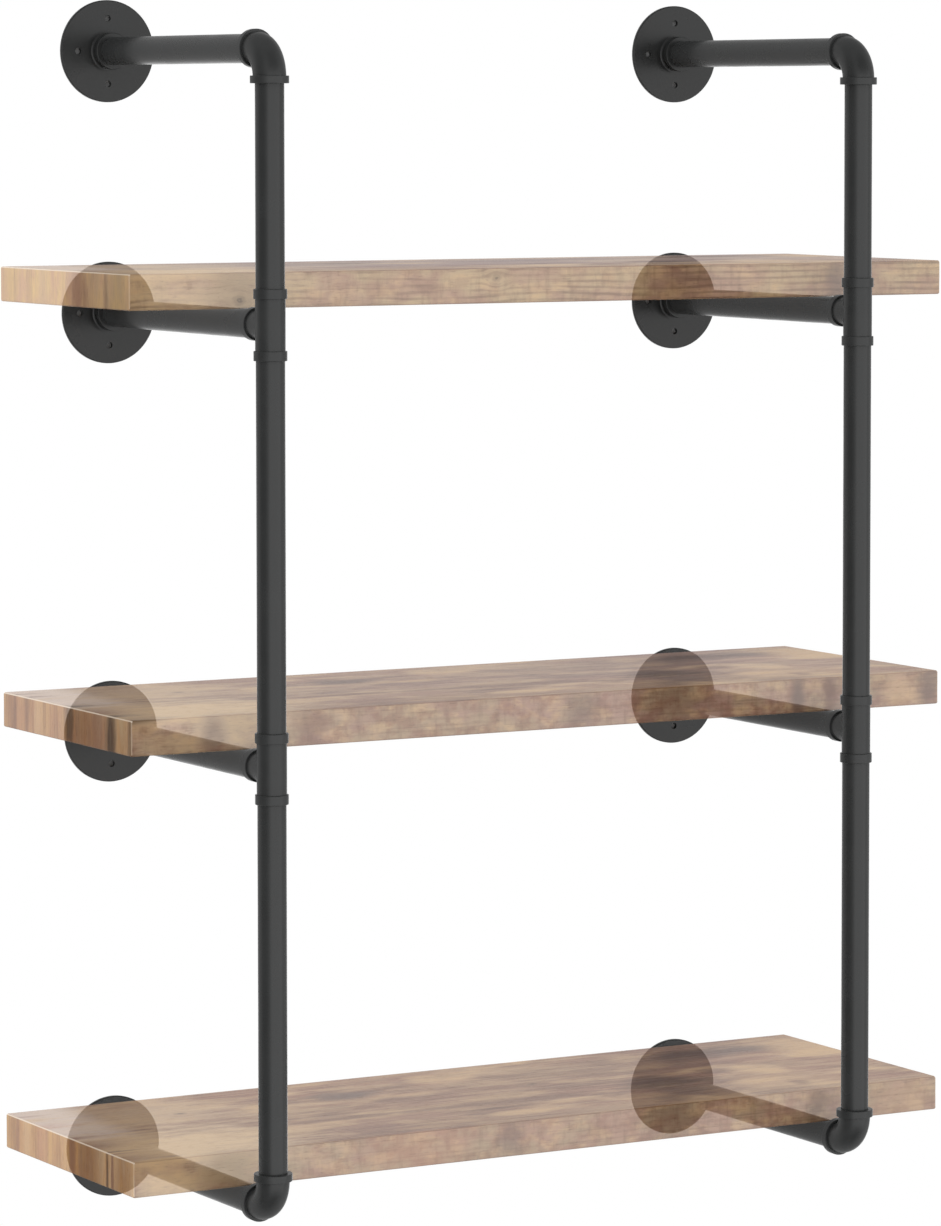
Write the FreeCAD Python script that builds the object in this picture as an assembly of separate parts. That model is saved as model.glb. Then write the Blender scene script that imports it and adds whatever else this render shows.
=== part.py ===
import FreeCAD, Part
import math
import os

# Pipe shelving unit, hung on a wall. Two columns of black threaded pipe and banded fittings
# carry three wooden boards, which lie loose on the arms of the three lower rows.
# Millimetres. +Z is up, +Y points into the wall and +X to the right of someone facing it.
# The origin lies on the wall, midway between the two columns and midway between the arms of
# the top row and those of the bottom row.

# Layout
column_spacing = 635.0      # between the two columns' centre planes
riser_stand_off = 342.0     # from the wall to the axis of the upright pipes
upper_row_pitch = 250.0     # from the top arms down to the arms of the top board
middle_row_pitch = 404.0    # from the top board's arms to the middle board's
lower_row_pitch = 404.0     # from the middle board's arms to the bottom board's

# Pipe, and the threaded ends that screw into the fittings
pipe_diameter = 26.7
pipe_wall = 2.87
thread_cut = 1.05           # how far a threaded end stands below the pipe's surface
thread_length = 12.5
thread_lead_in = 0.8        # chamfer at the tip of a threaded end
thread_clearance = 0.05     # round a threaded end, in its socket
socket_end_gap = 1.0        # left beyond the tip of a threaded end

# Wall flange
flange_diameter = 97.5
flange_plate = 3.5          # thickness of the round plate
flange_rim_round = 1.0
hub_height = 12.5           # the hub, in front of the plate
hub_wall = 3.4              # neck of the hub, round its threaded bore
hub_cove = 2.4              # fillet between the plate and the neck
hub_bead_proud = 1.8        # how far the bead stands out from the neck
hub_bead_width = 4.6
bead_round = 0.7            # eased edges of the hub's bead
screw_circle = 62.5
screw_hole = 6.4
screw_count = 4

# Elbow
elbow_wall = 2.9            # round the threaded sockets
elbow_throat = 10.75        # radius of the inside of the bend
elbow_run_in = 7.7          # how far a socket reaches past the start of the bend
elbow_band_proud = 2.5
elbow_band_width = 7.0

# Tee
tee_wall = 1.5
tee_core = 19.1             # from the crossing of the axes to the floor of a socket
tee_branch_step = 0.25      # the branch's neck is this much slimmer than the run
tee_crotch = 2.5            # fillet between the branch and the run
tee_band_proud = 1.55
tee_band_width = 9.0

band_round = 0.5            # eased edges of the bands on elbows and tees

# Boards
board_thickness = 33.0
board_overhang = 122.5      # past each column's centre plane
board_end_clearance = 6.7   # before the hub behind a board and the tee in front of it
board_seat_gap = 0.3        # between a board and the arms that it lies on
board_edge_round = 1.5

# Worked-out sizes
pipe_radius = pipe_diameter / 2
pipe_bore_radius = pipe_radius - pipe_wall
thread_radius = pipe_radius - thread_cut
socket_radius = thread_radius + thread_clearance
socket_depth = thread_length + socket_end_gap

hub_neck_radius = socket_radius + hub_wall
hub_bead_radius = hub_neck_radius + hub_bead_proud
flange_height = flange_plate + hub_height

elbow_radius = socket_radius + elbow_wall
elbow_bend = elbow_throat + elbow_radius
elbow_reach = elbow_bend + socket_depth - elbow_run_in

tee_radius = socket_radius + tee_wall
tee_reach = tee_core + socket_depth

board_back = -(flange_height + board_end_clearance)
board_front = -(riser_stand_off - tee_reach - board_end_clearance)

half_height = (upper_row_pitch + middle_row_pitch + lower_row_pitch) / 2
row_heights = [
    half_height,
    half_height - upper_row_pitch,
    half_height - upper_row_pitch - middle_row_pitch,
    -half_height,
]

ORIGIN = FreeCAD.Vector(0, 0, 0)
RIGHT = FreeCAD.Vector(1, 0, 0)
TO_WALL = FreeCAD.Vector(0, 1, 0)
FROM_WALL = FreeCAD.Vector(0, -1, 0)
UP = FreeCAD.Vector(0, 0, 1)
DOWN = FreeCAD.Vector(0, 0, -1)


def rounded_outline(corners):
    """Closed outline in the plane of radius and height. A corner is (radius, height, rounding)."""
    runs = []
    arcs = []
    for i in range(len(corners)):
        radius, height, rounding = corners[i]
        corner = FreeCAD.Vector(radius, 0, height)
        before = FreeCAD.Vector(corners[i - 1][0], 0, corners[i - 1][1]) - corner
        following = corners[(i + 1) % len(corners)]
        after = FreeCAD.Vector(following[0], 0, following[1]) - corner
        before.normalize()
        after.normalize()
        if rounding == 0:
            runs.append((corner, corner))
            continue
        half_angle = before.getAngle(after) / 2
        inwards = before + after
        inwards.normalize()
        start = corner + before * (rounding / math.tan(half_angle))
        end = corner + after * (rounding / math.tan(half_angle))
        middle = corner + inwards * (rounding / math.sin(half_angle) - rounding)
        runs.append((start, end))
        arcs.append(Part.Arc(start, middle, end).toShape())
    edges = list(arcs)
    for i in range(len(runs)):
        edges.append(Part.LineSegment(runs[i - 1][1], runs[i][0]).toShape())
    return Part.Wire(Part.__sortEdges__(edges))


def turned(corners):
    """A solid turned about the Z axis."""
    return Part.Face(rounded_outline(corners)).revolve(ORIGIN, UP, 360)


def set_along(shape, base, direction):
    """Moves a shape made along +Z from the origin, so that it starts at base along direction."""
    placed = shape.copy()
    placed.Placement = FreeCAD.Placement(base, FreeCAD.Rotation(UP, direction))
    return placed


def threaded_pipe(start, end):
    """A pipe whose shoulders stand at start and end, with a threaded end beyond each."""
    span = end - start
    length = span.Length
    tip_radius = thread_radius - thread_lead_in
    pipe = turned([
        (pipe_bore_radius, -thread_length, 0),
        (tip_radius, -thread_length, 0),
        (thread_radius, thread_lead_in - thread_length, 0),
        (thread_radius, 0, 0),
        (pipe_radius, 0, 0),
        (pipe_radius, length, 0),
        (thread_radius, length, 0),
        (thread_radius, length + thread_length - thread_lead_in, 0),
        (tip_radius, length + thread_length, 0),
        (pipe_bore_radius, length + thread_length, 0),
    ])
    return set_along(pipe, start, span)


def wall_flange(height):
    """Round plate on the wall, with a beaded hub and a circle of screw holes."""
    flange = turned([
        (socket_radius, 0, 0),
        (flange_diameter / 2, 0, 0),
        (flange_diameter / 2, flange_plate, flange_rim_round),
        (hub_neck_radius, flange_plate, hub_cove),
        (hub_neck_radius, flange_height - hub_bead_width, 0),
        (hub_bead_radius, flange_height - hub_bead_width, bead_round),
        (hub_bead_radius, flange_height, bead_round),
        (socket_radius, flange_height, 0),
    ])
    for i in range(screw_count):
        angle = 2 * math.pi * i / screw_count
        centre = FreeCAD.Vector(math.cos(angle), math.sin(angle), 0) * (screw_circle / 2)
        flange = flange.cut(Part.makeCylinder(screw_hole / 2, flange_plate, centre, UP))
    return set_along(flange, FreeCAD.Vector(0, 0, height), FROM_WALL)


def band(reach, radius, width, direction):
    """The raised band round the mouth of a fitting, at reach from the crossing of its axes."""
    ring = turned([
        (0, reach - width, 0),
        (radius, reach - width, band_round),
        (radius, reach, band_round),
        (0, reach, 0),
    ])
    return set_along(ring, ORIGIN, direction)


def leg(radius, start, reach, direction):
    """A round bar along one axis of a fitting, between two distances from the crossing."""
    return Part.makeCylinder(radius, reach - start, direction * start, direction)


def bend(radius):
    """A quarter turn of round bar, from the vertical leg to the one that points to the wall."""
    disc = Part.Face(Part.Wire(Part.Circle(UP * elbow_bend, UP, radius).toShape()))
    centre = FreeCAD.Vector(0, elbow_bend, elbow_bend)
    return disc.revolve(centre, RIGHT, 90)


def elbow():
    """Right-angled fitting, as at the foot of a column: one leg to the wall and one up."""
    outside = bend(elbow_radius)
    waterway = bend(pipe_bore_radius)
    for direction in (UP, TO_WALL):
        outside = outside.fuse(leg(elbow_radius, elbow_bend, elbow_reach, direction))
        band_radius = elbow_radius + elbow_band_proud
        outside = outside.fuse(band(elbow_reach, band_radius, elbow_band_width, direction))
        waterway = waterway.fuse(leg(pipe_bore_radius, elbow_bend, elbow_reach, direction))
        socket_floor = elbow_reach - socket_depth
        waterway = waterway.fuse(leg(socket_radius, socket_floor, elbow_reach, direction))
    return outside.cut(waterway).removeSplitter()


def turned_over(fitting):
    """The fitting as at the head of a column, with its upright leg pointing down."""
    return fitting.rotated(ORIGIN, TO_WALL, 180)


def tee():
    """Fitting with an upright run and a branch that points to the wall."""
    run = leg(tee_radius, -tee_reach, tee_reach, UP)
    branch = leg(tee_radius - tee_branch_step, 0, tee_reach, TO_WALL)
    outside = run.fuse(branch)
    crotch = [edge for edge in outside.Edges if isinstance(edge.Curve, Part.BSplineCurve)]
    outside = outside.makeFillet(tee_crotch, crotch)
    waterway = leg(pipe_bore_radius, -tee_reach, tee_reach, UP)
    waterway = waterway.fuse(leg(pipe_bore_radius, 0, tee_reach, TO_WALL))
    for direction in (UP, DOWN, TO_WALL):
        band_radius = tee_radius + tee_band_proud
        outside = outside.fuse(band(tee_reach, band_radius, tee_band_width, direction))
        waterway = waterway.fuse(leg(socket_radius, tee_core, tee_reach, direction))
    return outside.cut(waterway).removeSplitter()


def board(arm_height):
    """Plank with eased edges, lying across both arms of a row."""
    length = column_spacing + 2 * board_overhang
    underside = arm_height + pipe_radius + board_seat_gap
    corner = FreeCAD.Vector(-length / 2, board_front, underside)
    plank = Part.makeBox(length, board_back - board_front, board_thickness, corner)
    return plank.makeFillet(board_edge_round, plank.Edges)


def column():
    """The metal pieces of one column, in the plane X = 0, as a list of (name, shape)."""
    pieces = []
    reaches = [elbow_reach, tee_reach, tee_reach, elbow_reach]
    for row, height in enumerate(row_heights):
        front = FreeCAD.Vector(0, -riser_stand_off, height)
        hub_mouth = FreeCAD.Vector(0, -flange_height, height)
        pieces.append((f"wall_flange_{row + 1}", wall_flange(height)))
        pieces.append((f"arm_{row + 1}", threaded_pipe(hub_mouth, front + TO_WALL * reaches[row])))
    fittings = [
        ("top_elbow", turned_over(elbow())),
        ("tee_2", tee()),
        ("tee_3", tee()),
        ("bottom_elbow", elbow()),
    ]
    for row, (name, fitting) in enumerate(fittings):
        fitting.translate(FreeCAD.Vector(0, -riser_stand_off, row_heights[row]))
        pieces.append((name, fitting))
    for row, name in enumerate(("upper", "middle", "lower")):
        above = FreeCAD.Vector(0, -riser_stand_off, row_heights[row] - reaches[row])
        below = FreeCAD.Vector(0, -riser_stand_off, row_heights[row + 1] + reaches[row + 1])
        pieces.append((f"riser_{name}", threaded_pipe(above, below)))
    return pieces


os.makedirs("parts", exist_ok=True)

for side, offset in (("left", -column_spacing / 2), ("right", column_spacing / 2)):
    for name, shape in column():
        shape.translate(RIGHT * offset)
        shape.exportStep(f"parts/{side}_{name}.step")

for name, height in zip(("top", "middle", "bottom"), row_heights[1:]):
    board(height).exportStep(f"parts/shelf_board_{name}.step")
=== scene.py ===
import math

import bpy
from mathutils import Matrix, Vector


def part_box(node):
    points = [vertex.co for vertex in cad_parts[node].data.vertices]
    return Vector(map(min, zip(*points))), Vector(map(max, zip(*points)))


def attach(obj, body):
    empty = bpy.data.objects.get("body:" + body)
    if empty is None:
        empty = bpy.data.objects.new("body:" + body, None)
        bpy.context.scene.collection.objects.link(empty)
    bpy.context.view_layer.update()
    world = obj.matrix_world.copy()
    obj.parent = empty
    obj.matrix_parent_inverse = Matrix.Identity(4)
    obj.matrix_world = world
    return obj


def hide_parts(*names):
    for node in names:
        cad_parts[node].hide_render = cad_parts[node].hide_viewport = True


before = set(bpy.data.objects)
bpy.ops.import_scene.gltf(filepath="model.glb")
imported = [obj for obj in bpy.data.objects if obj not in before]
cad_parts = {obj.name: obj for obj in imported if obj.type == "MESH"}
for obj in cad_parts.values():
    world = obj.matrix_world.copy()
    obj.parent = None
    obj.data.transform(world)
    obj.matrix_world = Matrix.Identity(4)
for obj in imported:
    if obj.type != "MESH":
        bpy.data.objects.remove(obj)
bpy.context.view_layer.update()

# ---------------------------------------------------------------- sizes, in metres

BOARD_ARRIS = 0.0018            # radius of a board's eased edges
BOARD_CELL = 0.005              # spacing of the board mesh between its eased edges
ARRIS_STEPS = 3                 # mesh steps across an eased edge
ARRIS_WEAR = 0.0007             # how deep an eased edge is dented

SCREW_CIRCLE = 0.0625           # diameter of the circle of screw holes in a wall flange
SCREW_COUNT = 4
HOLE_SHADE_RADIUS = 0.0055              # radius of the grey disc of painted shade behind a screw hole
HOLE_SHADE_GAP = 0.0004          # from a flange's back to those discs

FLOOR_REACH = 6.0               # from the middle of the floor to its edges
FLOOR_LEVEL = -1.6

# ---------------------------------------------------------------- looks of the boards

# Share of what lies behind a board that shows through it, below 1. With 0, a board is solid
# wood that otherwise looks the same.
BOARD_SEE_THROUGH = 0.32
WOOD_TINT = 0.45                # how strongly the wood tints what shows through it
LIMED = 0.22                    # share of white in the pale parts of the wood, half that in the dark


# ---------------------------------------------------------------- node tools

def feed(tree, socket, value):
    """Sets an input socket to a value, or links another socket to it."""
    if isinstance(value, bpy.types.NodeSocket):
        tree.links.new(value, socket)
    else:
        socket.default_value = value


def add(tree, kind, inputs=None, **settings):
    """A new node with its settings, and its inputs given as values or as sockets to link."""
    made = tree.nodes.new(kind)
    for name, value in settings.items():
        setattr(made, name, value)
    for name, value in (inputs or {}).items():
        feed(tree, made.inputs[name], value)
    return made


def calc(tree, operation, *values, clamp=False):
    """The result of a Math node."""
    made = add(tree, "ShaderNodeMath", dict(enumerate(values)), operation=operation)
    made.use_clamp = clamp
    return made.outputs[0]


def vector_calc(tree, operation, *values):
    """The vector result of a Vector Math node. SCALE takes a vector and a number."""
    made = add(tree, "ShaderNodeVectorMath", operation=operation)
    for i, value in enumerate(values):
        socket = made.inputs["Scale"] if operation == "SCALE" and i == 1 else made.inputs[i]
        feed(tree, socket, value)
    return made.outputs[0]


def vector_length(tree, vector):
    """The length of a vector."""
    return add(tree, "ShaderNodeVectorMath", {0: vector}, operation="LENGTH").outputs["Value"]


def split(tree, vector):
    """The three values of a vector."""
    return add(tree, "ShaderNodeSeparateXYZ", {0: vector}).outputs


def join(tree, *values):
    """The vector of up to three values."""
    return add(tree, "ShaderNodeCombineXYZ", dict(enumerate(values))).outputs[0]


def ramp(tree, value, low, high, to_low=0.0, to_high=1.0, smooth=True):
    """The value, stretched from low..high to to_low..to_high and clamped there."""
    kind = "SMOOTHSTEP" if smooth else "LINEAR"
    made = add(tree, "ShaderNodeMapRange", {
        "Value": value, "From Min": low, "From Max": high, "To Min": to_low, "To Max": to_high,
    }, interpolation_type=kind)
    return made.outputs["Result"]


def blend(tree, factor, first, second):
    """The colour that runs from first to second with the factor."""
    made = add(tree, "ShaderNodeMix", data_type="RGBA")
    # The node's colours are its inputs 6 and 7 and its output 2.
    for i, value in ((0, factor), (6, first), (7, second)):
        feed(tree, made.inputs[i], value)
    return made.outputs[2]


def noise(tree, vector, scale, detail=2.0, roughness=0.5):
    """Values of about 0.3 to 0.7 from a Noise Texture."""
    return add(tree, "ShaderNodeTexNoise", {
        "Vector": vector, "Scale": scale, "Detail": detail, "Roughness": roughness,
    }).outputs["Fac"]


def stretched(tree, vector, x, y, shift=(0, 0, 0)):
    """The vector, scaled along X and Y and then shifted."""
    return add(tree, "ShaderNodeMapping", {
        "Vector": vector, "Location": shift, "Scale": (x, y, 1.0),
    }).outputs[0]


def group(name, inputs, outputs, kind="ShaderNodeTree"):
    """An empty node group. Inputs are (name, socket type, default) and outputs (name, type)."""
    tree = bpy.data.node_groups.new(name, kind)
    for label, socket_type, default in inputs:
        socket = tree.interface.new_socket(label, in_out="INPUT", socket_type=socket_type)
        if default is not None:
            socket.default_value = default
    for label, socket_type in outputs:
        tree.interface.new_socket(label, in_out="OUTPUT", socket_type=socket_type)
    entry = tree.nodes.new("NodeGroupInput")
    leave = tree.nodes.new("NodeGroupOutput")
    return tree, entry.outputs, leave.inputs


def use(tree, shared, inputs):
    """Places a shared group in a material and gives its outputs."""
    return add(tree, "ShaderNodeGroup", inputs, node_tree=shared).outputs


def shade(value):
    """An sRGB value of 0 to 255, as linear light."""
    value /= 255
    return value / 12.92 if value <= 0.04045 else ((value + 0.055) / 1.055) ** 2.4


def colour(red, green, blue):
    """An sRGB colour, as a node takes it."""
    return (shade(red), shade(green), shade(blue), 1.0)


WHITE = colour(255, 255, 255)


# ---------------------------------------------------------------- shared effects

def wood_streaks():
    """Soft streaks that run along a board, wider or narrower with the two scales."""
    tree, given, out = group("Wood streaks", [
        ("Vector", "NodeSocketVector", None),
        ("Along", "NodeSocketFloat", 6.0),
        ("Across", "NodeSocketFloat", 40.0),
        ("Waviness", "NodeSocketFloat", 0.2),
        ("Detail", "NodeSocketFloat", 4.0),
        ("Low", "NodeSocketFloat", 0.35),
        ("High", "NodeSocketFloat", 0.65),
        ("Seed", "NodeSocketFloat", 0.0),
    ], [("Mask", "NodeSocketFloat")])
    along, across, _ = split(tree, given["Vector"])
    along = calc(tree, "MULTIPLY", along, given["Along"])
    across = calc(tree, "MULTIPLY", across, given["Across"])
    laid = join(tree, along, across, given["Seed"])
    bent = noise(tree, laid, 0.6)
    bent = calc(tree, "MULTIPLY", calc(tree, "SUBTRACT", bent, 0.5), given["Waviness"])
    laid = vector_calc(tree, "ADD", laid, join(tree, 0.0, bent))
    value = noise(tree, laid, 1.0, given["Detail"], 0.55)
    tree.links.new(ramp(tree, value, given["Low"], given["High"]), out["Mask"])
    return tree


def grain_lines():
    """Wavy lines of the grain, a spacing apart and fading in and out along the board."""
    tree, given, out = group("Grain lines", [
        ("Vector", "NodeSocketVector", None),
        ("Spacing", "NodeSocketFloat", 0.006),
        ("Wander", "NodeSocketFloat", 0.012),
        ("Seed", "NodeSocketFloat", 0.0),
    ], [("Mask", "NodeSocketFloat")])
    along, across, _ = split(tree, given["Vector"])
    laid = join(tree, calc(tree, "MULTIPLY", along, 7.0), calc(tree, "MULTIPLY", across, 20.0),
                given["Seed"])
    bent = calc(tree, "SUBTRACT", noise(tree, laid, 1.0, 3.0), 0.5)
    across = calc(tree, "MULTIPLY_ADD", bent, given["Wander"], across)
    turns = calc(tree, "DIVIDE", calc(tree, "MULTIPLY", across, 2 * math.pi), given["Spacing"])
    line = ramp(tree, calc(tree, "SINE", turns), -0.3, 1.0)
    strength = ramp(tree, noise(tree, laid, 1.7), 0.38, 0.6, 0.1, 1.0)
    tree.links.new(calc(tree, "MULTIPLY", line, strength), out["Mask"])
    return tree


def wood_patch():
    """One soft oval patch at a place on the board, with a ragged edge."""
    tree, given, out = group("Wood patch", [
        ("Vector", "NodeSocketVector", None),
        ("Centre", "NodeSocketVector", None),
        ("Size", "NodeSocketVector", (0.05, 0.02, 1.0)),
        ("Ragged", "NodeSocketFloat", 0.6),
    ], [("Mask", "NodeSocketFloat")])
    offset = vector_calc(tree, "SUBTRACT", given["Vector"], given["Centre"])
    distance = vector_length(tree, vector_calc(tree, "DIVIDE", offset, given["Size"]))
    edge = noise(tree, stretched(tree, given["Vector"], 22, 75), 1.0, 3.0, 0.6)
    edge = calc(tree, "MULTIPLY", calc(tree, "SUBTRACT", edge, 0.5), 2.4)
    distance = calc(tree, "MULTIPLY_ADD", edge, given["Ragged"], distance)
    tree.links.new(ramp(tree, distance, 0.15, 1.1, 1.0, 0.0), out["Mask"])
    return tree


def wood_knot():
    """A knot at a place on the board: its dark heart, and rings that push the grain aside."""
    tree, given, out = group("Wood knot", [
        ("Vector", "NodeSocketVector", None),
        ("Centre", "NodeSocketVector", None),
        ("Size", "NodeSocketVector", (0.012, 0.006, 1.0)),
    ], [("Heart", "NodeSocketFloat"), ("Push", "NodeSocketVector")])
    offset = vector_calc(tree, "SUBTRACT", given["Vector"], given["Centre"])
    distance = vector_length(tree, vector_calc(tree, "DIVIDE", offset, given["Size"]))
    ragged = noise(tree, stretched(tree, given["Vector"], 160, 320), 1.0)
    distance = calc(tree, "MULTIPLY_ADD", calc(tree, "SUBTRACT", ragged, 0.5), 0.9, distance)
    rings = calc(tree, "SINE", calc(tree, "MULTIPLY", distance, 9.0))
    rings = calc(tree, "MULTIPLY_ADD", rings, 0.2, 0.8)
    heart = calc(tree, "MULTIPLY", ramp(tree, distance, 0.1, 1.3, 1.0, 0.0), rings)
    tree.links.new(heart, out["Heart"])
    reach = ramp(tree, distance, 0.0, 4.0, 1.0, 0.0)
    tree.links.new(vector_calc(tree, "SCALE", offset, reach), out["Push"])
    return tree


def fine_pores():
    """Short dark pores along the grain, as a value from 0 to 1."""
    tree, given, out = group("Fine pores", [
        ("Vector", "NodeSocketVector", None),
        ("Length", "NodeSocketFloat", 90.0),
        ("Width", "NodeSocketFloat", 900.0),
    ], [("Mask", "NodeSocketFloat")])
    along, across, _ = split(tree, given["Vector"])
    along = calc(tree, "MULTIPLY", along, given["Length"])
    across = calc(tree, "MULTIPLY", across, given["Width"])
    value = noise(tree, join(tree, along, across), 1.0, 2.0, 0.6)
    tree.links.new(ramp(tree, value, 0.56, 0.72), out["Mask"])
    return tree


def cast_skin():
    """The skin of coated metal: slow tone changes, and a grainy height."""
    tree, given, out = group("Coated skin", [
        ("Vector", "NodeSocketVector", None),
        ("Grain", "NodeSocketFloat", 900.0),
        ("Cloud", "NodeSocketFloat", 30.0),
    ], [("Tone", "NodeSocketFloat"), ("Height", "NodeSocketFloat")])
    cloud = noise(tree, given["Vector"], given["Cloud"], 3.0, 0.6)
    grain = noise(tree, given["Vector"], given["Grain"], 2.0, 0.6)
    speck = noise(tree, given["Vector"], calc(tree, "MULTIPLY", given["Grain"], 0.35), 1.0)
    tree.links.new(ramp(tree, cloud, 0.3, 0.7), out["Tone"])
    height = calc(tree, "MULTIPLY_ADD", speck, 0.7, calc(tree, "MULTIPLY", grain, 0.5))
    tree.links.new(height, out["Height"])
    return tree


STREAKS = wood_streaks()
GRAIN_LINES = grain_lines()
PATCH = wood_patch()
KNOT = wood_knot()
PORES = fine_pores()
SKIN = cast_skin()


# ---------------------------------------------------------------- materials

def new_material(name, **settings):
    """A material with one Principled BSDF, whose uniform values are set on its own sockets."""
    material = bpy.data.materials.new(name)
    material.use_nodes = True
    tree = material.node_tree
    tree.nodes.clear()
    surface = add(tree, "ShaderNodeBsdfPrincipled", settings)
    final = add(tree, "ShaderNodeOutputMaterial", {"Surface": surface.outputs[0]})
    return material, tree, surface, final


def black_metal(name, dark, light, roughness, grain, cloud, relief):
    """Black coated iron or steel."""
    material, tree, surface, _ = new_material(name)
    place = add(tree, "ShaderNodeTexCoord").outputs["Object"]
    skin = use(tree, SKIN, {"Vector": place, "Grain": grain, "Cloud": cloud})
    tree.links.new(blend(tree, skin["Tone"], dark, light), surface.inputs["Base Color"])
    rough = ramp(tree, skin["Tone"], 0, 1, roughness - 0.04, roughness + 0.04, smooth=False)
    tree.links.new(rough, surface.inputs["Roughness"])
    bump = add(tree, "ShaderNodeBump", {
        "Strength": 0.6, "Distance": relief, "Height": skin["Height"],
    })
    tree.links.new(bump.outputs[0], surface.inputs["Normal"])
    return material


FITTING_BLACK = black_metal("Black coated cast iron", colour(44, 45, 45), colour(50, 51, 51),
                            0.30, 700.0, 28.0, 0.00010)
FLANGE_BLACK = black_metal("Black coated flange", colour(36, 37, 37), colour(42, 43, 43),
                           0.30, 700.0, 24.0, 0.00010)
PIPE_BLACK = black_metal("Black coated steel pipe", colour(45, 46, 46), colour(49, 50, 50),
                         0.26, 1300.0, 22.0, 0.00003)

TINT = {
    "chalk": colour(219, 193, 174),
    "pale": colour(214, 174, 118),
    "tan": colour(176, 132, 80),
    "gold": colour(208, 160, 90),
    "pink": colour(152, 100, 66),
    "orange": colour(184, 116, 72),
    "olive": colour(142, 112, 66),
    "moss": colour(134, 104, 54),
    "russet": colour(132, 76, 50),
    "rust": colour(140, 86, 24),
    "brown": colour(98, 60, 40),
    "stain": colour(118, 74, 54),
    "grey": colour(112, 84, 70),
    "dark": colour(60, 38, 30),
    "knot": colour(62, 38, 26),
    "umber": colour(106, 74, 46),
    # pale colour of the painted highlight along the eased edges of the boards' ends
    "seam_and_highlight": colour(250, 230, 206),
    # bluish colour of the painted sheen, a painted reflection on the boards' tops
    "painted_sheen": colour(173, 188, 210),
}


# A board's wood is worked out on its veneer map, which runs on from the top down the long sides
# and down the ends. Laid is that map with the grain pushed aside round the knots.

def streaks(tree, laid, seed, along, across, waviness, low, high, share=1.0, detail=4.0):
    """Strength of one layer of streaks."""
    mask = use(tree, STREAKS, {
        "Vector": laid, "Along": along, "Across": across, "Waviness": waviness,
        "Detail": detail, "Low": low, "High": high, "Seed": seed,
    })["Mask"]
    return calc(tree, "MULTIPLY", mask, share)


def blotches(tree, veneer, seed, shift, x, y, low, high, share=1.0):
    """Strength of one layer of blotches."""
    placed = stretched(tree, veneer, x, y, shift=(shift, seed, 0))
    mask = ramp(tree, noise(tree, placed, 1.0, 3.0, 0.6), low, high)
    return calc(tree, "MULTIPLY", mask, share)


def top_tone(tree, veneer, laid, seed, painted_sheen):
    """The wood of a board's top, paler at its left end, and with a bluish painted sheen towards its
    back.
    """
    tone = TINT["tan"]
    for tint, layer in (
        ("pink", streaks(tree, laid, seed + 1.3, 6, 12, 0.9, 0.40, 0.60, 1.0, 2.0)),
        ("gold", streaks(tree, laid, seed + 7.9, 10, 20, 1.2, 0.47, 0.64, 0.85, 2.5)),
        ("stain", streaks(tree, laid, seed + 12.4, 3, 7, 0.8, 0.44, 0.64, 0.5, 1.0)),
        ("stain", streaks(tree, laid, seed + 4.1, 7, 15, 1.2, 0.49, 0.67, 0.85, 2.5)),
        ("brown", streaks(tree, laid, seed + 9.2, 18, 60, 1.0, 0.46, 0.70, 0.3, 3.0)),
    ):
        tone = blend(tree, layer, tone, TINT[tint])
    grain = use(tree, GRAIN_LINES, {
        "Vector": laid, "Spacing": 0.0055, "Wander": 0.035, "Seed": seed + 40,
    })["Mask"]
    tone = blend(tree, calc(tree, "MULTIPLY", grain, 0.32), tone, TINT["russet"])
    fibres = streaks(tree, laid, seed + 15.2, 9, 330, 0.8, 0.46, 0.64, 0.25, 3.0)
    tone = blend(tree, fibres, tone, TINT["pale"])
    along, back, _ = split(tree, veneer)
    # painted sheen: a bluish veil that grows towards the back of the top, standing in for its
    # reflection
    tone = blend(tree, ramp(tree, back, -0.30, -0.18, 0.0, painted_sheen), tone, TINT["painted_sheen"])
    bleached = ramp(tree, along, -0.40, -0.36, 0.8, 0.0)
    bleached = calc(tree, "MULTIPLY", bleached, ramp(tree, back, -0.24, -0.14))
    return blend(tree, bleached, tone, TINT["chalk"])


def front_tone(tree, veneer, laid, seed, look):
    """The wood of a board's long sides."""
    first, second = look["front"]
    tone = blend(tree, blotches(tree, veneer, seed, 1.7, 12, 20, 0.40, 0.60), first, second)
    for tint, layer in (
        ("gold", blotches(tree, veneer, seed, 5.2, 34, 60, 0.46, 0.68, 0.5)),
        ("russet", blotches(tree, veneer, seed, 3.9, 50, 55, 0.42, 0.64, look["mottle"])),
        ("umber", blotches(tree, veneer, seed, 8.4, 150, 34, 0.46, 0.68, 0.25)),
        ("umber", streaks(tree, laid, seed + 31.0, 11, 330, 0.6, 0.52, 0.68, 0.3)),
    ):
        tone = blend(tree, layer, tone, TINT[tint])
    grain = use(tree, GRAIN_LINES, {"Vector": laid, "Seed": seed})["Mask"]
    return blend(tree, calc(tree, "MULTIPLY", grain, look["lines"]), tone, TINT["umber"])


def end_tone(tree, veneer, laid, seed, look):
    """The wood of a board's ends, with the streaks of the top running down them."""
    first, second, third = look["end"]
    tone = blend(tree, blotches(tree, veneer, seed, 2.2, 14, 30, 0.40, 0.60), first, second)
    wide = streaks(tree, laid, seed + 21.0, 4, 60, 0.3, 0.48, 0.66, 0.5)
    tone = blend(tree, wide, tone, third)
    narrow = streaks(tree, laid, seed + 23.0, 5, 190, 0.3, 0.50, 0.70, 0.2)
    return blend(tree, narrow, tone, TINT["brown"])


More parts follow.
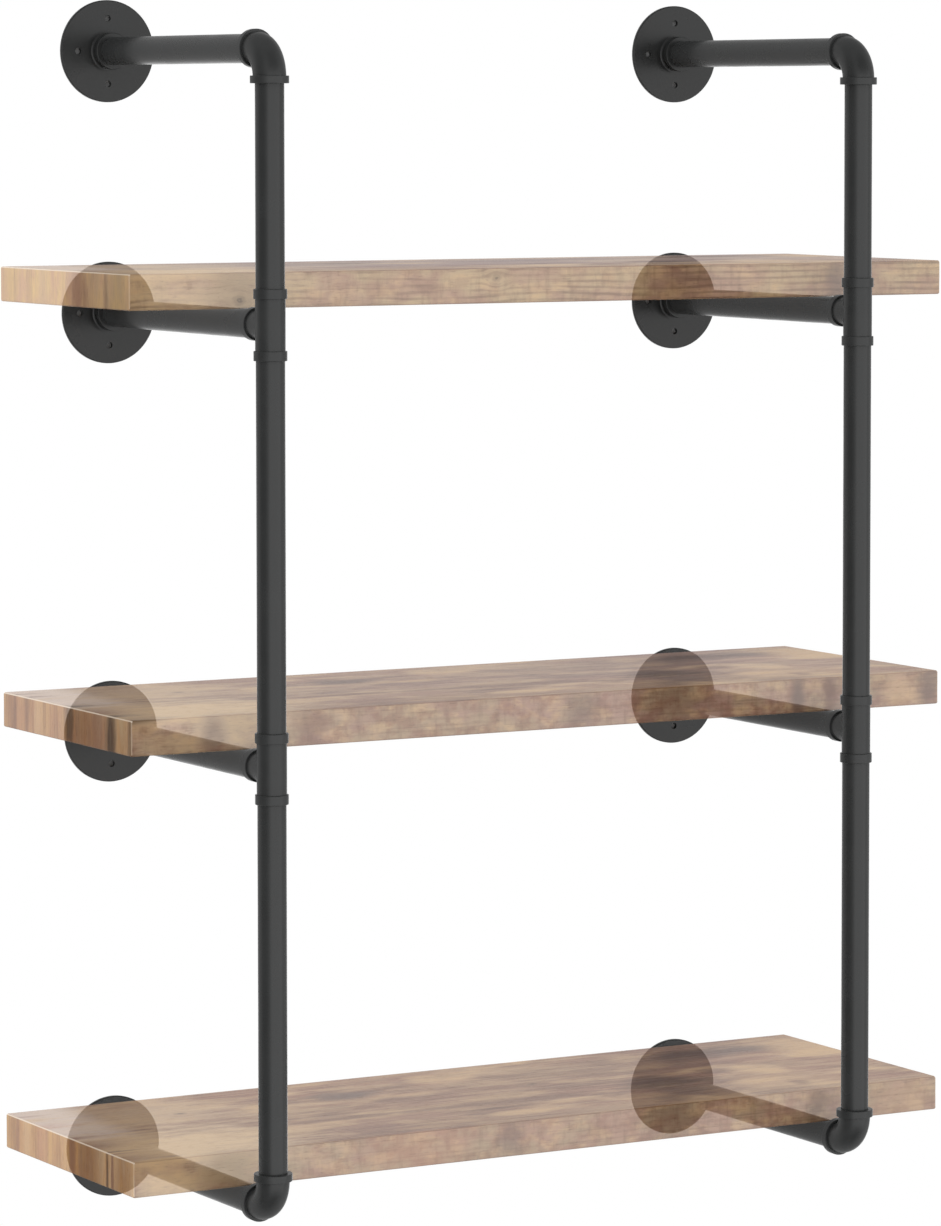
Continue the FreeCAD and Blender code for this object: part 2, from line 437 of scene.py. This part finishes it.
def board_seams_and_highlight(tree, tone):
    """The tone, with the dark seams of the veneer along the board's edges, and a pale painted
    highlight along the edges of its ends.
    """
    seam_and_highlight = add(tree, "ShaderNodeAttribute", attribute_name="Seam").outputs["Vector"]
    light, dark, shown = split(tree, seam_and_highlight)
    tone = blend(tree, ramp(tree, dark, 0.1, 0.8, 0.0, 0.4), tone, TINT["brown"])
    # painted highlight: a pale line along the ends' edges, strongest on the upper ones
    light = calc(tree, "MULTIPLY", ramp(tree, light, 0.05, 0.5, 0.0, 0.9), shown)
    return blend(tree, light, tone, TINT["seam_and_highlight"])


def see_through(tree, tone, surface):
    """The shader of a board whose outer faces let some of what lies behind them show.

    What shows is tinted by the wood, and the wood's own colour is darker by as much, so that the
    board looks the same against white as if it were solid. Reflections and the backs of faces
    leave the boards out, which keeps the black metal neutral.
    """
    passed = add(tree, "ShaderNodeGamma", {"Color": tone, "Gamma": WOOD_TINT}).outputs[0]
    kept = vector_calc(tree, "SCALE", passed, BOARD_SEE_THROUGH)
    kept = vector_calc(tree, "SUBTRACT", tone, kept)
    kept = vector_calc(tree, "SCALE", kept, 1 / (1 - BOARD_SEE_THROUGH))
    kept = vector_calc(tree, "MAXIMUM", kept, (0, 0, 0))
    tree.links.new(kept, surface.inputs["Base Color"])
    behind = add(tree, "ShaderNodeNewGeometry").outputs["Backfacing"]
    mirrored = add(tree, "ShaderNodeLightPath").outputs["Is Glossy Ray"]
    hidden = calc(tree, "MAXIMUM", behind, mirrored)
    clear = add(tree, "ShaderNodeBsdfTransparent", {"Color": blend(tree, hidden, passed, WHITE)})
    return add(tree, "ShaderNodeMixShader", {
        0: calc(tree, "MAXIMUM", hidden, BOARD_SEE_THROUGH),
        1: surface.outputs[0],
        2: clear.outputs[0],
    })


def board_wood(name, seed, look, marks, knots):
    """The rustic wood of one board, with its own marks and knots."""
    material, tree, surface, final = new_material(name, **{"Specular IOR Level": 0.3})
    veneer = add(tree, "ShaderNodeAttribute", attribute_name="Veneer").outputs["Vector"]
    side = add(tree, "ShaderNodeAttribute", attribute_name="Side").outputs["Vector"]
    on_front, on_end, _ = split(tree, side)

    laid = veneer
    hearts = 0.0
    for centre, size in knots:
        knot = use(tree, KNOT, {"Vector": veneer, "Centre": centre, "Size": size})
        laid = vector_calc(tree, "SUBTRACT", laid, knot["Push"])
        hearts = calc(tree, "MAXIMUM", hearts, knot["Heart"])

    tone = top_tone(tree, veneer, laid, seed, look["painted_sheen"])
    tone = blend(tree, on_front, tone, front_tone(tree, veneer, laid, seed, look))
    tone = blend(tree, on_end, tone, end_tone(tree, veneer, laid, seed, look))
    for centre, size, tint, strength in marks:
        mask = use(tree, PATCH, {"Vector": veneer, "Centre": centre, "Size": size})["Mask"]
        tone = blend(tree, calc(tree, "MULTIPLY", mask, strength), tone, TINT[tint])
    tone = blend(tree, calc(tree, "MULTIPLY", hearts, 0.7), tone, TINT["knot"])
    pores = use(tree, PORES, {"Vector": laid})["Mask"]
    tone = blend(tree, calc(tree, "MULTIPLY", pores, 0.25), tone, TINT["knot"])
    tone = board_seams_and_highlight(tree, tone)
    bright = add(tree, "ShaderNodeRGBToBW", {0: tone}).outputs[0]
    limed = ramp(tree, bright, 0.03, 0.30, 0.5 * LIMED, LIMED, smooth=False)
    tone = blend(tree, limed, tone, WHITE)

    fibres = streaks(tree, laid, seed + 2.2, 9, 260, 0.7, 0.3, 0.7)
    height = calc(tree, "SUBTRACT", fibres, pores)
    bump = add(tree, "ShaderNodeBump", {"Strength": 0.4, "Distance": 0.0003, "Height": height})
    tree.links.new(bump.outputs[0], surface.inputs["Normal"])
    tree.links.new(ramp(tree, pores, 0, 1, 0.42, 0.7, smooth=False), surface.inputs["Roughness"])
    tree.links.new(see_through(tree, tone, surface).outputs[0], final.inputs["Surface"])
    return material


def end_marks(*stripes):
    """Marks for the upright stripes of a left end: how far back, half width, tint and strength."""
    return [
        ((-0.456, -back, 0), (0.06, half, 1), tint, strength)
        for back, half, tint, strength in stripes
    ]


def front_marks(*stripes):
    """Marks for the blotches of a front: where along the board, half width, tint and strength."""
    return [
        ((along, -0.319, 0), (half, 0.03, 1), tint, strength)
        for along, half, tint, strength in stripes
    ]


# Marks on the top of a board: place, half size, tint and strength.
TOP_MARKS = [
    ((-0.365, -0.255, 0), (0.150, 0.110, 1), "pale", 1.0),
    ((-0.320, -0.100, 0), (0.110, 0.090, 1), "pale", 0.55),
    ((0.290, -0.250, 0), (0.100, 0.080, 1), "gold", 0.4),
    ((0.415, -0.090, 0), (0.060, 0.080, 1), "gold", 0.65),
    ((-0.120, -0.103, 0), (0.048, 0.024, 1), "grey", 0.85),
    ((-0.160, -0.208, 0), (0.080, 0.014, 1), "stain", 0.75),
    ((0.010, -0.208, 0), (0.130, 0.022, 1), "stain", 0.65),
    ((-0.030, -0.235, 0), (0.050, 0.007, 1), "brown", 0.6),
    ((0.185, -0.200, 0), (0.065, 0.040, 1), "brown", 0.8),
    ((0.345, -0.078, 0), (0.055, 0.032, 1), "grey", 0.85),
    ((0.290, -0.075, 0), (0.070, 0.032, 1), "brown", 0.9),
    ((0.305, -0.260, 0), (0.014, 0.020, 1), "stain", 0.6),
    ((0.268, -0.168, 0), (0.032, 0.022, 1), "stain", 0.8),
    ((0.240, -0.226, 0), (0.024, 0.022, 1), "stain", 0.7),
    ((0.112, -0.226, 0), (0.032, 0.022, 1), "stain", 0.6),
    ((0.154, -0.272, 0), (0.032, 0.032, 1), "brown", 0.5),
    ((0.212, -0.288, 0), (0.045, 0.020, 1), "gold", 0.5),
    ((0.005, -0.262, 0), (0.065, 0.016, 1), "gold", 0.8),
    ((0.280, -0.236, 0), (0.050, 0.016, 1), "gold", 0.8),
    ((-0.060, -0.130, 0), (0.045, 0.014, 1), "gold", 0.6),
]
TOP_KNOTS = [
    ((-0.297, -0.108, 0), (0.008, 0.005, 1)),
    ((0.072, -0.140, 0), (0.006, 0.004, 1)),
]

# A look's painted sheen is how strong the painted reflection on its top is, most on the top board.
TOP_BOARD_WOOD = board_wood("Rustic wood, top board", 3.0, {
    "front": (colour(183, 148, 93), colour(170, 126, 90)), "lines": 0.5, "mottle": 0.25,
    "painted_sheen": 0.13,
    "end": (colour(226, 180, 102), colour(212, 160, 110), colour(182, 134, 84)),
}, TOP_MARKS + end_marks(
    (0.040, 0.022, "gold", 0.5), (0.055, 0.004, "russet", 0.3), (0.120, 0.020, "pale", 0.5),
    (0.200, 0.036, "russet", 0.6), (0.240, 0.040, "brown", 0.15), (0.253, 0.006, "brown", 0.4),
    (0.280, 0.024, "olive", 0.45),
) + front_marks(
    (-0.338, 0.040, "moss", 0.45), (0.137, 0.050, "brown", 0.35), (0.318, 0.016, "grey", 0.6),
), TOP_KNOTS + [((-0.329, -0.328, 0), (0.007, 0.005, 1)), ((-0.060, -0.312, 0), (0.005, 0.004, 1))])
MIDDLE_BOARD_WOOD = board_wood("Rustic wood, middle board", 5.0, {
    "front": (colour(165, 132, 92), colour(163, 120, 95)), "lines": 0.2, "mottle": 0.5,
    "painted_sheen": 0.05,
    "end": (colour(190, 134, 56), colour(181, 121, 60), colour(130, 84, 48)),
}, TOP_MARKS + end_marks(
    (0.050, 0.006, "stain", 0.6), (0.076, 0.008, "stain", 0.6), (0.100, 0.012, "gold", 0.5),
    (0.172, 0.018, "dark", 0.7), (0.205, 0.026, "rust", 0.6), (0.232, 0.024, "russet", 0.6),
    (0.260, 0.016, "dark", 0.78), (0.284, 0.010, "olive", 0.3), (0.301, 0.008, "dark", 0.55),
) + front_marks(
    (-0.358, 0.018, "grey", 0.65), (-0.256, 0.024, "stain", 0.6), (0.032, 0.024, "grey", 0.6),
    (0.137, 0.050, "brown", 0.4), (0.276, 0.012, "grey", 0.9), (0.312, 0.010, "stain", 0.8),
    (0.392, 0.024, "gold", 0.5), (0.428, 0.018, "grey", 0.8),
), TOP_KNOTS)
BOTTOM_BOARD_WOOD = board_wood("Rustic wood, bottom board", 5.0, {
    "front": (colour(165, 133, 92), colour(168, 123, 93)), "lines": 0.2, "mottle": 0.4,
    "painted_sheen": 0.0,
    "end": (colour(203, 144, 32), colour(189, 127, 36), colour(142, 92, 30)),
}, TOP_MARKS + end_marks(
    (0.050, 0.006, "russet", 0.5), (0.070, 0.012, "gold", 0.5), (0.105, 0.018, "orange", 0.5),
    (0.172, 0.012, "russet", 0.7), (0.208, 0.034, "rust", 0.7), (0.247, 0.004, "dark", 0.7),
    (0.258, 0.004, "russet", 0.7), (0.280, 0.024, "rust", 0.55),
) + front_marks(
    (-0.405, 0.040, "pale", 0.6), (-0.350, 0.035, "olive", 0.6), (-0.150, 0.080, "orange", 0.35),
    (-0.045, 0.020, "grey", 0.6), (0.137, 0.050, "brown", 0.4), (0.300, 0.018, "brown", 0.6),
    (0.395, 0.050, "tan", 0.5),
), TOP_KNOTS)


# ---------------------------------------------------------------- boards

PLANK_SIDES = ("Length", "Depth", "Thickness")


def plank_grid(tree, given):
    """The mesh of a cube, and the share of each side's mesh steps that lies on its flat part."""
    counts, flat_shares = [], []
    for side in PLANK_SIDES:
        run = calc(tree, "SUBTRACT", given[side], calc(tree, "MULTIPLY", given["Arris"], 2.0))
        cells = calc(tree, "CEIL", calc(tree, "DIVIDE", run, given["Cell"]))
        total = calc(tree, "ADD", cells, calc(tree, "MULTIPLY", given["Arris steps"], 2.0))
        counts.append(calc(tree, "ADD", total, 1.0))
        flat_shares.append(calc(tree, "DIVIDE", cells, total))
    cube = add(tree, "GeometryNodeMeshCube", {
        "Size": (2.0, 2.0, 2.0), "Vertices X": counts[0], "Vertices Y": counts[1],
        "Vertices Z": counts[2],
    }).outputs["Mesh"]
    return cube, flat_shares


def sharp_box(tree, given, flat_shares):
    """Each vertex's place on a sharp box, and the core that the eased edges are drawn round."""
    axes = split(tree, add(tree, "GeometryNodeInputPosition").outputs[0])
    sharp, core = [], []
    for axis, side in enumerate(PLANK_SIDES):
        reach = calc(tree, "SUBTRACT", calc(tree, "MULTIPLY", given[side], 0.5), given["Arris"])
        distance = calc(tree, "ABSOLUTE", axes[axis])
        inner = ramp(tree, distance, 0.0, flat_shares[axis], 0.0, reach, smooth=False)
        outer = ramp(tree, distance, flat_shares[axis], 1.0, 0.0, given["Arris"], smooth=False)
        sign = calc(tree, "SIGN", axes[axis])
        sharp.append(calc(tree, "MULTIPLY", calc(tree, "ADD", inner, outer), sign))
        core.append(calc(tree, "MULTIPLY", inner, sign))
    return join(tree, *sharp), join(tree, *core)


def eased_box(tree, given, core, reach):
    """Each vertex's place on the plank, and how far it lies on an eased edge, from 0 to 1.

    From the core, a vertex stands out by the radius of the eased edge, less its wear.
    """
    span = calc(tree, "DIVIDE", vector_length(tree, reach), given["Arris"])
    on_arris = calc(tree, "DIVIDE", calc(tree, "SUBTRACT", span, 1.0), math.sqrt(2) - 1, clamp=True)
    shifted = vector_calc(tree, "ADD", core, join(tree, given["Seed"], given["Seed"]))
    dents = ramp(tree, noise(tree, shifted, 45.0, 3.0, 0.65), 0.45, 0.75)
    dents = calc(tree, "MULTIPLY", dents, on_arris)
    radius = calc(tree, "SUBTRACT", given["Arris"], calc(tree, "MULTIPLY", dents, given["Wear"]))
    rounded = vector_calc(tree, "SCALE", vector_calc(tree, "NORMALIZE", reach), radius)
    place = vector_calc(tree, "ADD", vector_calc(tree, "ADD", core, rounded), given["Centre"])
    return place, on_arris


def seam_and_highlight_values(tree, reach, on_arris):
    """Seams of the veneer along the eased edges, and a painted highlight on them.

    The light lines, at the ends, are a painted highlight on the eased edges and are in the first
    value, and the dark seams are in the second. The third says how far the painted highlight
    shows, which is less on upright edges.
    """
    to_end, _, upwards = split(tree, reach)
    at_end = calc(tree, "GREATER_THAN", calc(tree, "ABSOLUTE", to_end), 0.0)
    under = calc(tree, "LESS_THAN", upwards, 0.0)
    light = calc(tree, "MULTIPLY", at_end, calc(tree, "SUBTRACT", 1.0, under))
    dark = calc(tree, "SUBTRACT", 1.0, light)
    over = calc(tree, "GREATER_THAN", upwards, 0.0)
    shown = calc(tree, "MULTIPLY_ADD", over, 0.65, 0.35)
    light, dark = (calc(tree, "MULTIPLY", on_arris, share) for share in (light, dark))
    return join(tree, light, dark, shown)


def side_values(tree):
    """Which side a face is on: front or back in the first value, an end in the second."""
    across, forwards, _ = split(tree, add(tree, "GeometryNodeInputNormal").outputs[0])
    on_front = calc(tree, "GREATER_THAN", calc(tree, "ABSOLUTE", forwards), 0.72)
    on_end = calc(tree, "GREATER_THAN", calc(tree, "ABSOLUTE", across), 0.5)
    return join(tree, on_front, on_end)


def veneer_values(tree, given):
    """The veneer map: places on the top, carried on down the long sides and down the ends."""
    here = split(tree, add(tree, "GeometryNodeInputPosition").outputs[0])
    middle = split(tree, given["Centre"])
    side = add(tree, "GeometryNodeInputNamedAttribute", {"Name": "Side"},
               data_type="FLOAT_VECTOR").outputs[0]
    on_front, on_end, _ = split(tree, side)
    top = calc(tree, "MULTIPLY_ADD", given["Thickness"], 0.5, middle[2])
    below = calc(tree, "SUBTRACT", top, here[2])
    places = []
    for axis, on_side in ((0, on_end), (1, on_front)):
        outwards = calc(tree, "SIGN", calc(tree, "SUBTRACT", here[axis], middle[axis]))
        down = calc(tree, "MULTIPLY", calc(tree, "MULTIPLY", below, on_side), outwards)
        places.append(calc(tree, "ADD", here[axis], down))
    return join(tree, *places)


def stored(tree, geometry, name, value, domain):
    """The geometry, with a vector kept on each of its points, faces or corners."""
    return add(tree, "GeometryNodeStoreNamedAttribute", {
        "Geometry": geometry, "Name": name, "Value": value,
    }, data_type="FLOAT_VECTOR", domain=domain).outputs[0]


def dressed(tree, geometry, material, leave):
    """Makes the geometry real, gives it its material and sends it to the tree's output."""
    real = add(tree, "GeometryNodeRealizeInstances", {"Geometry": geometry}).outputs[0]
    made = add(tree, "GeometryNodeSetMaterial", {"Geometry": real, "Material": material})
    tree.links.new(made.outputs[0], leave)


def plank_tree():
    """Geometry Nodes tree of a plank: a box with eased, slightly dented edges."""
    tree, given, out = group("Plank", [
        ("Length", "NodeSocketFloat", 0.88),
        ("Depth", "NodeSocketFloat", 0.28),
        ("Thickness", "NodeSocketFloat", 0.033),
        ("Arris", "NodeSocketFloat", 0.0016),
        ("Wear", "NodeSocketFloat", 0.0006),
        ("Cell", "NodeSocketFloat", 0.005),
        ("Arris steps", "NodeSocketInt", 3),
        ("Centre", "NodeSocketVector", None),
        ("Seed", "NodeSocketFloat", 0.0),
        ("Material", "NodeSocketMaterial", None),
    ], [("Plank", "NodeSocketGeometry")], kind="GeometryNodeTree")
    plank, flat_shares = plank_grid(tree, given)
    sharp, core = sharp_box(tree, given, flat_shares)
    reach = vector_calc(tree, "SUBTRACT", sharp, core)
    place, on_arris = eased_box(tree, given, core, reach)
    plank = stored(tree, plank, "Seam", seam_and_highlight_values(tree, reach, on_arris), "POINT")
    plank = add(tree, "GeometryNodeSetPosition", {"Geometry": plank, "Position": place}).outputs[0]
    plank = stored(tree, plank, "Side", side_values(tree), "FACE")
    plank = stored(tree, plank, "Veneer", veneer_values(tree, given), "CORNER")
    plank = add(tree, "GeometryNodeSetShadeSmooth", {"Geometry": plank}).outputs[0]
    dressed(tree, plank, given["Material"], out["Plank"])
    return tree


def grown(name, tree, values, points=()):
    """A plain mesh object made by a Geometry Nodes tree, from its inputs' values and its points."""
    start = bpy.data.meshes.new(name + ".source")
    start.from_pydata(points, [], [])
    source = bpy.data.objects.new(name + ".source", start)
    bpy.context.scene.collection.objects.link(source)
    modifier = source.modifiers.new("Shape", "NODES")
    modifier.node_group = tree
    for item in tree.interface.items_tree:
        if item.item_type == "SOCKET" and item.in_out == "INPUT" and item.name in values:
            modifier[item.identifier] = values[item.name]
    source.update_tag()
    seen = source.evaluated_get(bpy.context.evaluated_depsgraph_get())
    mesh = bpy.data.meshes.new_from_object(seen)
    mesh.name = name
    bpy.data.objects.remove(source)
    made = bpy.data.objects.new(name, mesh)
    bpy.context.scene.collection.objects.link(made)
    return made


PLANK = plank_tree()

for which, seed, wood in (
    ("top", 1.7, TOP_BOARD_WOOD),
    ("middle", 4.2, MIDDLE_BOARD_WOOD),
    ("bottom", 8.8, BOTTOM_BOARD_WOOD),
):
    node = f"shelf_board_{which}"
    low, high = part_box(node)
    size = high - low
    board = grown(f"{which}_board_wood", PLANK, {
        "Length": size.x, "Depth": size.y, "Thickness": size.z, "Arris": BOARD_ARRIS,
        "Wear": ARRIS_WEAR, "Cell": BOARD_CELL, "Arris steps": ARRIS_STEPS,
        "Centre": (low + high) / 2, "Seed": seed, "Material": wood,
    })
    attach(board, f"{which}_board")
    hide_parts(node)


# ---------------------------------------------------------------- pipes and fittings

for name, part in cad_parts.items():
    if name.startswith("shelf_board"):
        continue
    finish = FITTING_BLACK
    if "flange" in name:
        finish = FLANGE_BLACK
    elif "arm" in name or "riser" in name:
        finish = PIPE_BLACK
    part.data.materials.clear()
    part.data.materials.append(finish)


# ---------------------------------------------------------------- painted shade in the screw holes

def painted_hole_shade_tree():
    """Geometry Nodes tree: round a point for each flange, one disc of painted shade behind each of its
    holes.
    """
    tree, given, out = group("Painted hole shade", [
        ("Flange centres", "NodeSocketGeometry", None),
        ("Screw circle", "NodeSocketFloat", 0.06),
        ("Count", "NodeSocketInt", 4),
        ("Disc radius", "NodeSocketFloat", 0.005),
        ("Material", "NodeSocketMaterial", None),
    ], [("Discs", "NodeSocketGeometry")], kind="GeometryNodeTree")
    ring = add(tree, "GeometryNodeMeshCircle", {
        "Vertices": given["Count"], "Radius": calc(tree, "MULTIPLY", given["Screw circle"], 0.5),
    }).outputs[0]
    disc = add(tree, "GeometryNodeMeshCircle", {
        "Vertices": 16, "Radius": given["Disc radius"],
    }, fill_type="NGON").outputs[0]
    discs = add(tree, "GeometryNodeInstanceOnPoints", {"Points": ring, "Instance": disc}).outputs[0]
    upright = add(tree, "GeometryNodeTransform", {
        "Geometry": discs, "Rotation": (math.pi / 2, 0, 0),
    }).outputs[0]
    everywhere = add(tree, "GeometryNodeInstanceOnPoints", {
        "Points": given["Flange centres"], "Instance": upright,
    }).outputs[0]
    dressed(tree, everywhere, given["Material"], out["Discs"])
    return tree


def painted_shade_grey():
    """Painted shade: a grey that darkens the flanges' screw holes from in front, clear from behind."""
    material, tree, surface, _ = new_material("Painted shade in screw holes", Roughness=0.8)
    place = add(tree, "ShaderNodeTexCoord").outputs["Object"]
    cloud = ramp(tree, noise(tree, place, 300.0, 3.0), 0.3, 0.7)
    # painted shade: this grey stands for the shade inside the screw holes
    grey = blend(tree, cloud, colour(122, 122, 122), colour(136, 136, 136))
    tree.links.new(grey, surface.inputs["Base Color"])
    behind = add(tree, "ShaderNodeNewGeometry").outputs["Backfacing"]
    tree.links.new(calc(tree, "SUBTRACT", 1.0, behind), surface.inputs["Alpha"])
    return material


def painted_hole_shade():
    """Grey discs of painted shade behind the flanges' screw holes, seen through them from in front."""
    centres = []
    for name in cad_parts:
        if "wall_flange" in name:
            low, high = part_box(name)
            centres.append(((low.x + high.x) / 2, high.y + HOLE_SHADE_GAP, (low.z + high.z) / 2))
    # grey discs of painted shade that darken the screw holes
    backs = grown("painted_hole_shade", painted_hole_shade_tree(), {
        "Screw circle": SCREW_CIRCLE, "Count": SCREW_COUNT, "Disc radius": HOLE_SHADE_RADIUS,
        "Material": painted_shade_grey(),
    }, centres)


# ---------------------------------------------------------------- floor, light and camera

# What reflections see: cards on a dim surround, each with its bearings from straight in front,
# its heights above the horizon, both in degrees, and its level of light.
SURROUND_LEVEL = 0.46
REFLECTED_CARDS = [
    ((-200, 260), (34, 120), 0.3),
    ((-44, 60), (-34, 10), 1.23),
    ((60, 94), (-60, 0), 0.68),
    ((-30, 45), (24, 62), 0.1),
    ((-90, 25), (-90, -48), 0.13),
    ((-120, -64), (-75, 42), 0.17),
    ((128, 172), (-22, 4), 1.4),
]
LOWEST_BEARING = -130           # bearings run from here once round

# The camera: where it stands, how it is turned, in degrees, and its picture, whose height,
# focal length and shift are in the picture's own dots.
CAMERA_PLACE = (-2.5456, -4.6962, 0.4778)
CAMERA_DIP = 3.8266
CAMERA_TURN = 30.0075
PICTURE_HEIGHT = 1226
FOCAL_LENGTH = 5399.55
PICTURE_SHIFT = (-74, -147)


def pale_floor():
    """White floor under the unit, as stage, clear from below and in reflections."""
    mesh = bpy.data.meshes.new("pale_floor")
    corners = [
        (x * FLOOR_REACH, y * FLOOR_REACH, FLOOR_LEVEL)
        for x, y in ((-1, -1), (1, -1), (1, 1), (-1, 1))
    ]
    mesh.from_pydata(corners, [], [(0, 1, 2, 3)])
    floor = bpy.data.objects.new("pale_floor", mesh)
    bpy.context.scene.collection.objects.link(floor)
    material, tree, surface, final = new_material("Pale floor", **{
        "Base Color": (0.8, 0.8, 0.8, 1.0), "Roughness": 0.9,
    })
    paths = add(tree, "ShaderNodeLightPath").outputs
    clear = add(tree, "ShaderNodeBsdfTransparent").outputs[0]
    white = add(tree, "ShaderNodeEmission", {"Color": WHITE, "Strength": 1.0}).outputs[0]
    below = add(tree, "ShaderNodeNewGeometry").outputs["Backfacing"]
    seen = add(tree, "ShaderNodeMixShader", {0: below, 1: white, 2: clear})
    unseen = add(tree, "ShaderNodeMixShader", {
        0: paths["Is Glossy Ray"], 1: surface.outputs[0], 2: clear,
    })
    mixed = add(tree, "ShaderNodeMixShader", {
        0: paths["Is Camera Ray"], 1: unseen.outputs[0], 2: seen.outputs[0],
    })
    tree.links.new(mixed.outputs[0], final.inputs["Surface"])
    mesh.materials.append(material)


def within(tree, value, start, end, soft=12.0):
    """1 where the value lies between start and end, with a soft border at each."""
    rise = ramp(tree, value, start - soft, start + soft)
    fall = ramp(tree, value, end - soft, end + soft, 1.0, 0.0)
    return calc(tree, "MULTIPLY", rise, fall)


def reflected_light(tree, towards):
    """The light that reflections see in a direction: the cards, on their dim surround."""
    across, away, up = split(tree, towards)
    ahead = calc(tree, "MULTIPLY", away, -1.0)
    bearing = calc(tree, "DEGREES", calc(tree, "ARCTAN2", across, ahead))
    bearing = calc(tree, "WRAP", bearing, LOWEST_BEARING + 360, LOWEST_BEARING)
    height = calc(tree, "DEGREES", calc(tree, "ARCSINE", up))
    light = SURROUND_LEVEL
    for bearings, heights, level in REFLECTED_CARDS:
        card = calc(tree, "MULTIPLY", within(tree, bearing, *bearings), within(tree, height, *heights))
        rest = calc(tree, "MULTIPLY", light, calc(tree, "SUBTRACT", 1.0, card))
        light = calc(tree, "MULTIPLY_ADD", card, level, rest)
    return light


def surround():
    """White surround that lights the unit, with the cards in its place for reflections."""
    world = bpy.data.worlds.new("Studio surround")
    bpy.context.scene.world = world
    world.use_nodes = True
    tree = world.node_tree
    tree.nodes.clear()
    paths = add(tree, "ShaderNodeLightPath").outputs
    mirrored = reflected_light(tree, add(tree, "ShaderNodeTexCoord").outputs["Generated"])
    dimmed = calc(tree, "MULTIPLY", calc(tree, "SUBTRACT", mirrored, 1.0), paths["Is Glossy Ray"])
    strength = calc(tree, "MAXIMUM", calc(tree, "ADD", dimmed, 1.0), paths["Is Camera Ray"])
    light = add(tree, "ShaderNodeBackground", {"Color": WHITE, "Strength": strength})
    add(tree, "ShaderNodeOutputWorld", {"Surface": light.outputs[0]})


def camera():
    """Long lens, well in front of the unit and to its left, looking a little down."""
    lens = bpy.data.cameras.new("Camera")
    lens.sensor_width = 36.0
    lens.lens = FOCAL_LENGTH * lens.sensor_width / PICTURE_HEIGHT
    lens.shift_x, lens.shift_y = (shift / PICTURE_HEIGHT for shift in PICTURE_SHIFT)
    lens.clip_start, lens.clip_end = 0.1, 50.0
    view = bpy.data.objects.new("Camera", lens)
    view.location = CAMERA_PLACE
    view.rotation_euler = (math.radians(90 - CAMERA_DIP), 0.0, math.radians(-CAMERA_TURN))
    bpy.context.scene.collection.objects.link(view)
    bpy.context.scene.camera = view


bpy.context.scene.view_settings.view_transform = "Standard"
painted_hole_shade()
pale_floor()
surround()
camera()
